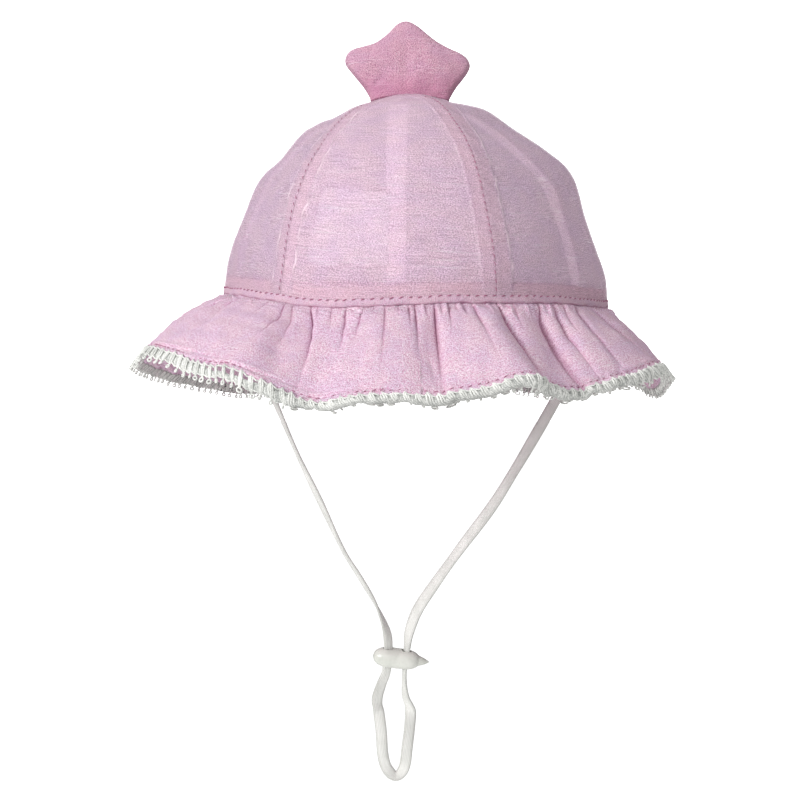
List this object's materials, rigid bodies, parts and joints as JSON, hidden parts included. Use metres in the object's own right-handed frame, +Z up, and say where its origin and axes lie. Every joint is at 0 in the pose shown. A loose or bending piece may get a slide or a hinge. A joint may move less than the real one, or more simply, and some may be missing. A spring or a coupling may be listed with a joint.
{
  "type": "baby sun hat",
  "caption": "Child's cloth sun hat with a round panelled crown, gathered lace-edged brim, stuffed star on top and a chin strap with a sliding stopper.",
  "frame": {"origin": "middle of the head opening, at the height of the seam between crown and brim, where the hat sits on a head", "axes": "+Z up through the crown, -Y towards the front, +X to the viewer's right when facing the front"},
  "size_m": [0.2029, 0.2176, 0.295],
  "materials": {
    "crown_cloth": "pale pink semi-sheer slub weave",
    "brim_cloth": "pale pink slub weave, gathered",
    "star_cloth": "deeper pink slub weave, stuffed",
    "lace": "white cotton crochet edging",
    "tape": "white flat woven tape",
    "label": "plain pale satin ribbon, blank",
    "stopper": "glossy white moulded plastic"
  },
  "bodies": {
    "root": {"crown_front": "crown_cloth", "crown_right": "crown_cloth", "crown_back_right": "crown_cloth", "crown_back_left": "crown_cloth", "crown_left": "crown_cloth", "crown_welt": "crown_cloth", "crown_facing": "crown_cloth", "brim": "brim_cloth", "lace_trim": "lace", "label": "label", "star_topknot": "star_cloth", "chin_strap": "tape", "cord_stopper": "stopper"}
  },
  "joints": []
}
